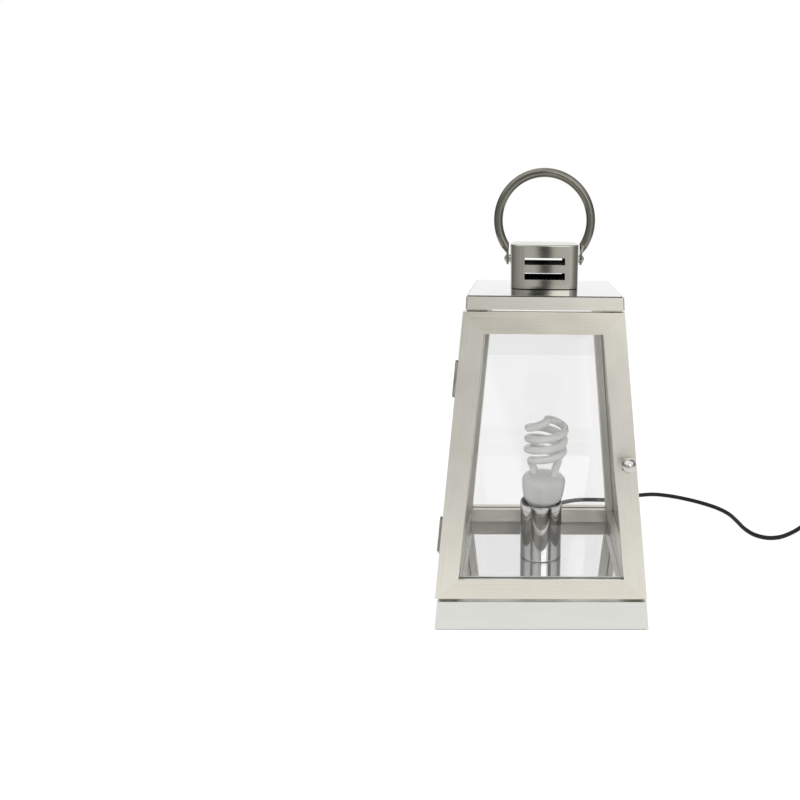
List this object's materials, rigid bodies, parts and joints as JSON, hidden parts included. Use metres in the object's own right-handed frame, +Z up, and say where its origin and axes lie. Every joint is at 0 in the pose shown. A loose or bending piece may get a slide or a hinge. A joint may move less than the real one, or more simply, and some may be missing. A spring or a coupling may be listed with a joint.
{
  "type": "lantern table lamp",
  "caption": "Square tapered steel lantern with a hinged glass door, a ring handle and a slotted collar, lit by a spiral bulb in a chrome lampholder on a mirror floor.",
  "frame": {"origin": "on the table, under the middle of the base", "axes": "+Z up; -Y towards the door; +X to the knob side"},
  "size_m": [0.5119, 0.307, 0.386],
  "materials": {
    "satin_steel": "satin, nearly smooth",
    "mirror_steel": "mirror polished",
    "black_cover": "matt black paint",
    "screw_steel": "plain",
    "foot_rubber": "matt",
    "brushed_frame": "brushed along each member",
    "roof_steel": "mirror polished",
    "collar_steel": "polished",
    "handle_steel": "polished, dull",
    "hinge_steel": "brushed",
    "black_catch": "matt",
    "door_steel": "brushed along each member",
    "clear_glass": "clear, polished",
    "knob_chrome": "polished",
    "sleeve_chrome": "polished",
    "holder_black": "matt",
    "contact_brass": "plain",
    "cord_black": "smooth, slightly glossy",
    "switch_black": "smooth",
    "bulb_white": "smooth",
    "tube_white": "smooth, satin white",
    "cap_aluminium": "plain",
    "rocker_grey": "smooth",
    "tie_grey": "matt",
    "plug_black": "fine matt",
    "pin_brass": "nickel plated"
  },
  "bodies": {
    "lantern": {"base_skirt": "satin_steel", "mirror_floor": "mirror_steel", "bottom_cover": "black_cover", "base_screws": "screw_steel", "rubber_feet": "foot_rubber", "post_front_left": "brushed_frame", "post_front_right": "brushed_frame", "post_back_left": "brushed_frame", "post_back_right": "brushed_frame", "bottom_rail_left": "brushed_frame", "bottom_rail_right": "brushed_frame", "bottom_rail_back": "brushed_frame", "top_rail_left": "brushed_frame", "top_rail_right": "brushed_frame", "top_rail_back": "brushed_frame", "glass_left": "clear_glass", "glass_right": "clear_glass", "glass_back": "clear_glass", "lid_band": "brushed_frame", "roof_plate": "roof_steel", "collar": "collar_steel", "handle_rivets": "screw_steel", "hinge_body_leaves": "hinge_steel", "hinge_pins": "hinge_steel", "magnet_catch": "black_catch", "lampholder_sleeve": "sleeve_chrome", "lampholder_insert": "holder_black", "screw_shell": "contact_brass", "lampholder_contacts": "contact_brass", "threaded_nipple": "screw_steel", "nipple_nut": "screw_steel", "internal_lead": "cord_black", "lead_clamp": "switch_black", "cord_boot": "cord_black", "bulb_housing": "bulb_white", "bulb_spiral": "tube_white", "bulb_cap": "cap_aluminium", "bulb_contact": "cap_aluminium", "cord_run": "cord_black", "switch_lower": "switch_black", "switch_upper": "switch_black", "switch_screws": "screw_steel", "cord_link": "cord_black", "cord_coil": "cord_black", "cord_tie": "tie_grey", "plug_body": "plug_black", "plug_pins": "pin_brass"},
    "door": {"hinge_door_leaves": "hinge_steel", "door_strike": "screw_steel", "door_stile_left": "door_steel", "door_stile_right": "door_steel", "door_rail_bottom": "door_steel", "door_rail_top": "door_steel", "door_glass": "clear_glass", "door_knob": "knob_chrome", "knob_screw": "screw_steel"},
    "handle": {"handle_ring": "handle_steel"},
    "rocker": {"switch_rocker": "rocker_grey"}
  },
  "joints": [
    {"name": "door_hinge", "type": "hinge", "parent": "lantern", "child": "door", "pos_m": [-0.08047, -0.07067, 0.15], "axis": [-0.1049, -0.1049, -0.9889], "range_deg": [0, 110]},
    {"name": "handle_pivot", "type": "hinge", "parent": "lantern", "child": "handle", "pos_m": [0, 0, 0.3099], "axis": [1, 0, 0], "range_deg": [-105, 105]},
    {"name": "rocker_pivot", "type": "hinge", "parent": "lantern", "child": "rocker", "pos_m": [0.349, 0.121, 0.0151], "axis": [0, -1, 0], "range_deg": [0, 14]}
  ]
}
